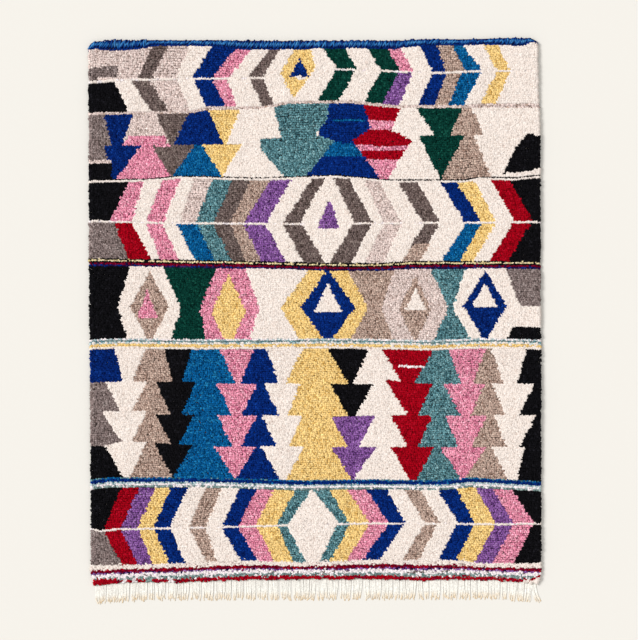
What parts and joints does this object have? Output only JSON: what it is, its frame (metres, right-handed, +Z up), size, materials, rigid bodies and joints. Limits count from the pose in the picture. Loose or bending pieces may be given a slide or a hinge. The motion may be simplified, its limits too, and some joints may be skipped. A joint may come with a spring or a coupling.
{
  "type": "beni ourain rug",
  "caption": "Flat hand-knotted wool rug with a lumpy pile in bands of chevrons, triangles, lozenges and tree columns, a rolled top edging and a warp fringe at one end.",
  "frame": {"origin": "on the floor under the middle of the whole rug's box", "axes": "+Y along the rug from the fringe to the blue edging, +X across its width to the right, +Z up out of the pile"},
  "size_m": [2.0248, 2.5232, 0.0205],
  "materials": {
    "pile": "matt knotted wool, in cream and plain dyed colours",
    "warp": "matt undyed wool yarn, loosely twisted"
  },
  "bodies": {
    "root": {"rug": "pile", "fringe": "warp"}
  },
  "joints": []
}
